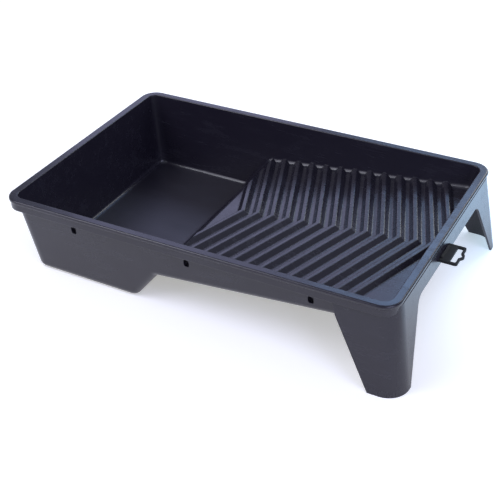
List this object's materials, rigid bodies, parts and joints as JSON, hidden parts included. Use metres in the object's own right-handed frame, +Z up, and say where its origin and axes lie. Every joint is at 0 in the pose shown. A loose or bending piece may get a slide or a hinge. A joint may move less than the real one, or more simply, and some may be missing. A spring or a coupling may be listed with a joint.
{
  "type": "paint roller tray",
  "caption": "Deep-well paint roller tray with a chevron-ribbed ramp, a rolled rim, a clip-on two-legged stand under the ramp end and a small hang loop.",
  "frame": {"origin": "middle of the whole object's footprint, on the ground", "axes": "+X along the tray from the well end to the leg end, +Y across it, +Z up"},
  "size_m": [0.4412, 0.2976, 0.0918],
  "materials": {
    "tray_plastic": "semi-gloss navy-black moulded polypropylene",
    "stand_plastic": "semi-gloss navy-black moulded polypropylene",
    "loop_plastic": "satin black moulded plastic"
  },
  "bodies": {
    "root": {"tray_body": "tray_plastic", "leg_stand": "stand_plastic", "hang_loop": "loop_plastic"}
  },
  "joints": []
}
